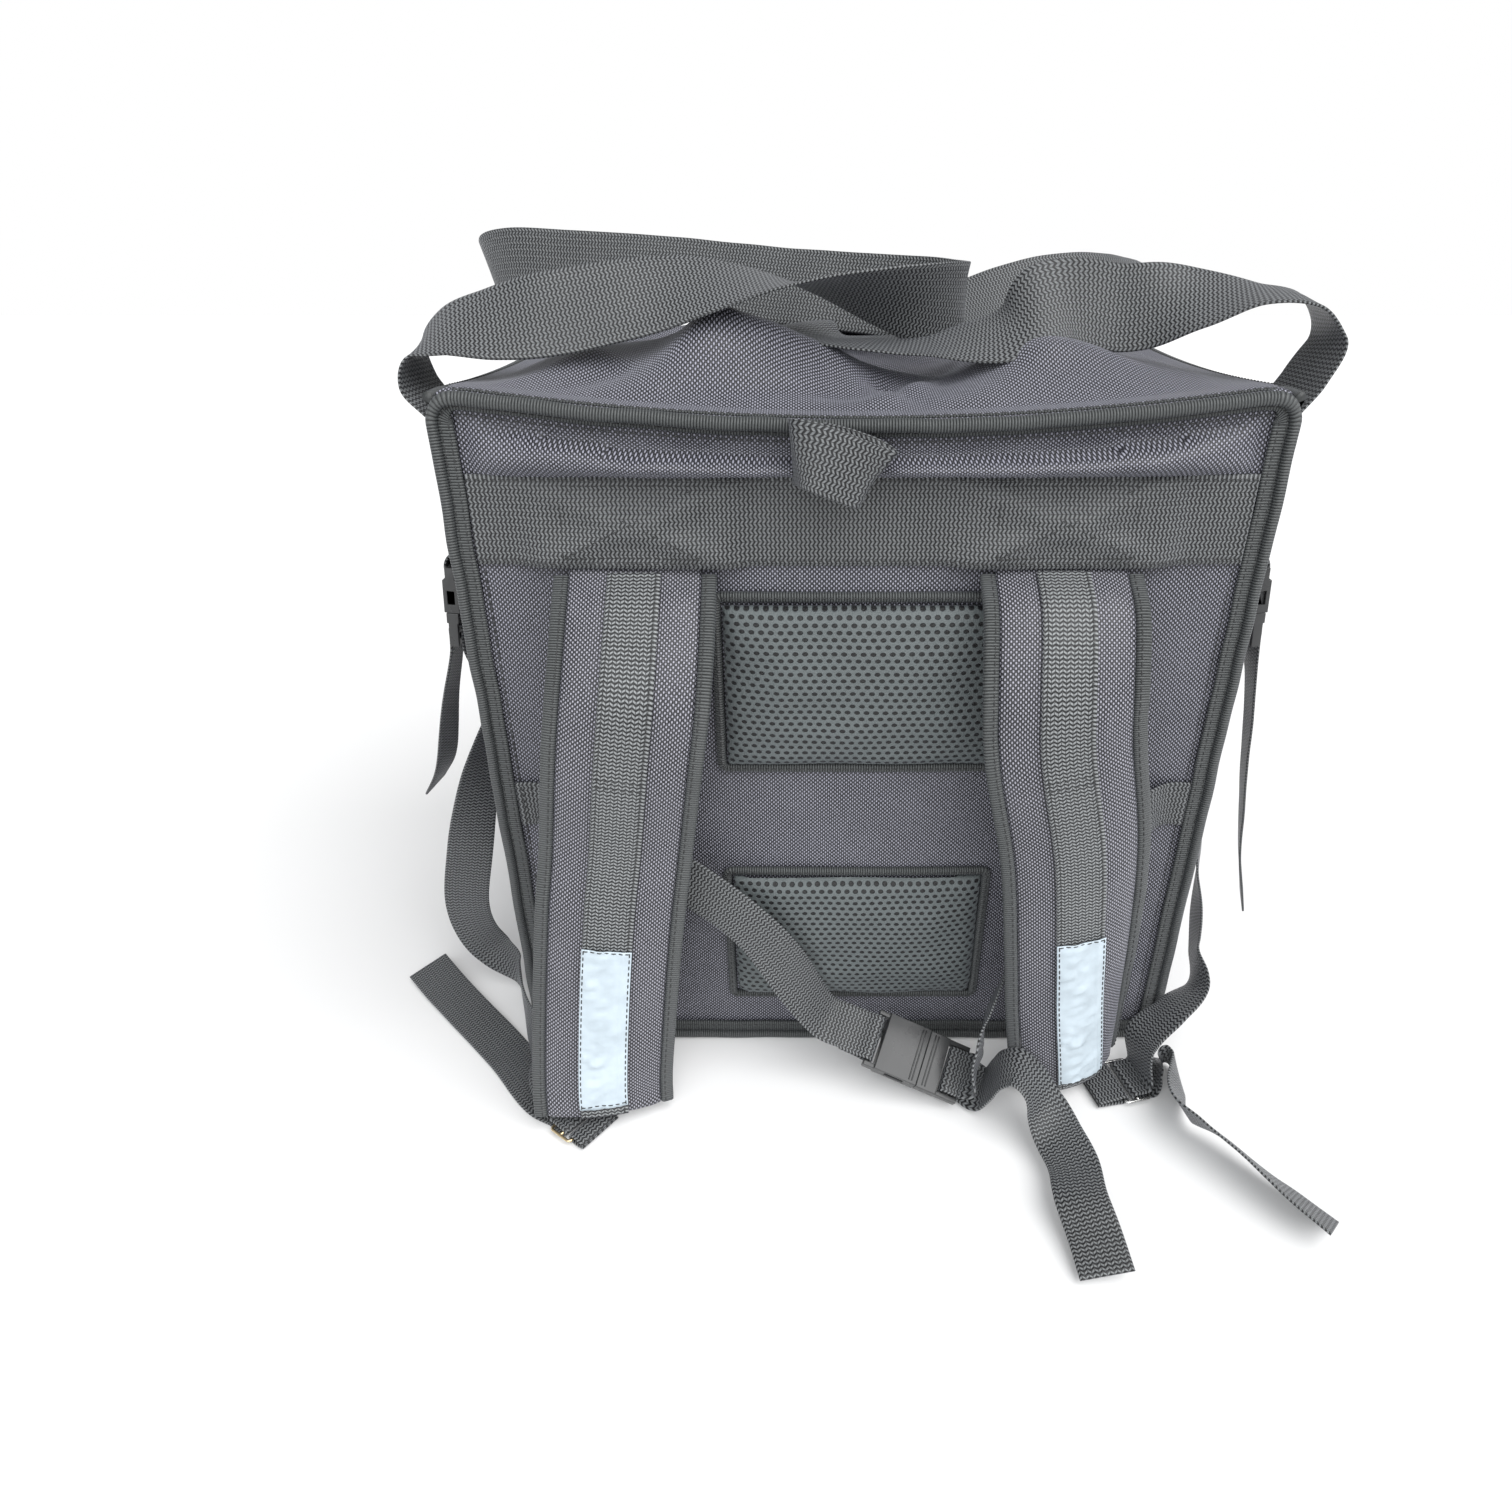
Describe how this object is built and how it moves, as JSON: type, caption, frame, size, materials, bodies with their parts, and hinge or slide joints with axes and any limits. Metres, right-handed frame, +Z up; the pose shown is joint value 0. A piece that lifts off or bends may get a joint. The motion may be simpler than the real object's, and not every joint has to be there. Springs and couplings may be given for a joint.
{
  "type": "insulated delivery backpack",
  "caption": "Box-shaped insulated backpack with a padded lid, air-mesh back pads, padded shoulder straps, a buckled waist belt, side buckles and long webbing carrying handles.",
  "frame": {"origin": "centre of the flat underside of the bag's base", "axes": "+Z up, -Y towards the wearer's side with the shoulder straps, +X to the right seen from that side"},
  "size_m": [0.6402, 0.553, 0.5288],
  "materials": {
    "cloth": "coarse woven nylon cloth with a slight sheen",
    "air_mesh": "knitted spacer mesh with hexagonal holes",
    "webbing": "woven strap webbing with a herringbone weave",
    "binding": "ribbed binding tape, folded over the seams and stitched",
    "reflector": "pale silver reflective tape, lightly creased",
    "buckle_plastic": "moulded acetal with a fine texture",
    "brass": "plated wire, pale gold",
    "steel": "plated steel wire"
  },
  "bodies": {
    "root": {"body_shell": "cloth", "lid": "cloth", "back_binding": "binding", "front_binding": "binding", "rim_binding_left": "binding", "rim_binding_right": "binding", "back_band": "webbing", "hanging_loop": "webbing", "upper_pad": "air_mesh", "upper_pad_binding": "binding", "lower_pad": "air_mesh", "lower_pad_binding": "binding", "strap_left_pad": "cloth", "strap_left_inner_binding": "binding", "strap_left_outer_binding": "binding", "strap_left_webbing": "webbing", "strap_left_reflector": "reflector", "strap_left_end_loop": "webbing", "slider_left": "brass", "adjuster_left": "webbing", "strap_right_pad": "cloth", "strap_right_inner_binding": "binding", "strap_right_outer_binding": "binding", "strap_right_webbing": "webbing", "strap_right_reflector": "reflector", "strap_right_end_loop": "webbing", "slider_right": "steel", "adjuster_right": "webbing", "side_left_buckle_socket": "buckle_plastic", "side_left_buckle_plug": "buckle_plastic", "side_left_strap_upper": "webbing", "side_left_strap_lower": "webbing", "side_right_buckle_socket": "buckle_plastic", "side_right_buckle_plug": "buckle_plastic", "side_right_strap_upper": "webbing", "side_right_strap_lower": "webbing", "handle_left": "webbing", "handle_right": "webbing", "waist_belt_left": "webbing", "waist_belt_right": "webbing", "waist_buckle_socket": "buckle_plastic", "waist_buckle_plug": "buckle_plastic"}
  },
  "joints": []
}
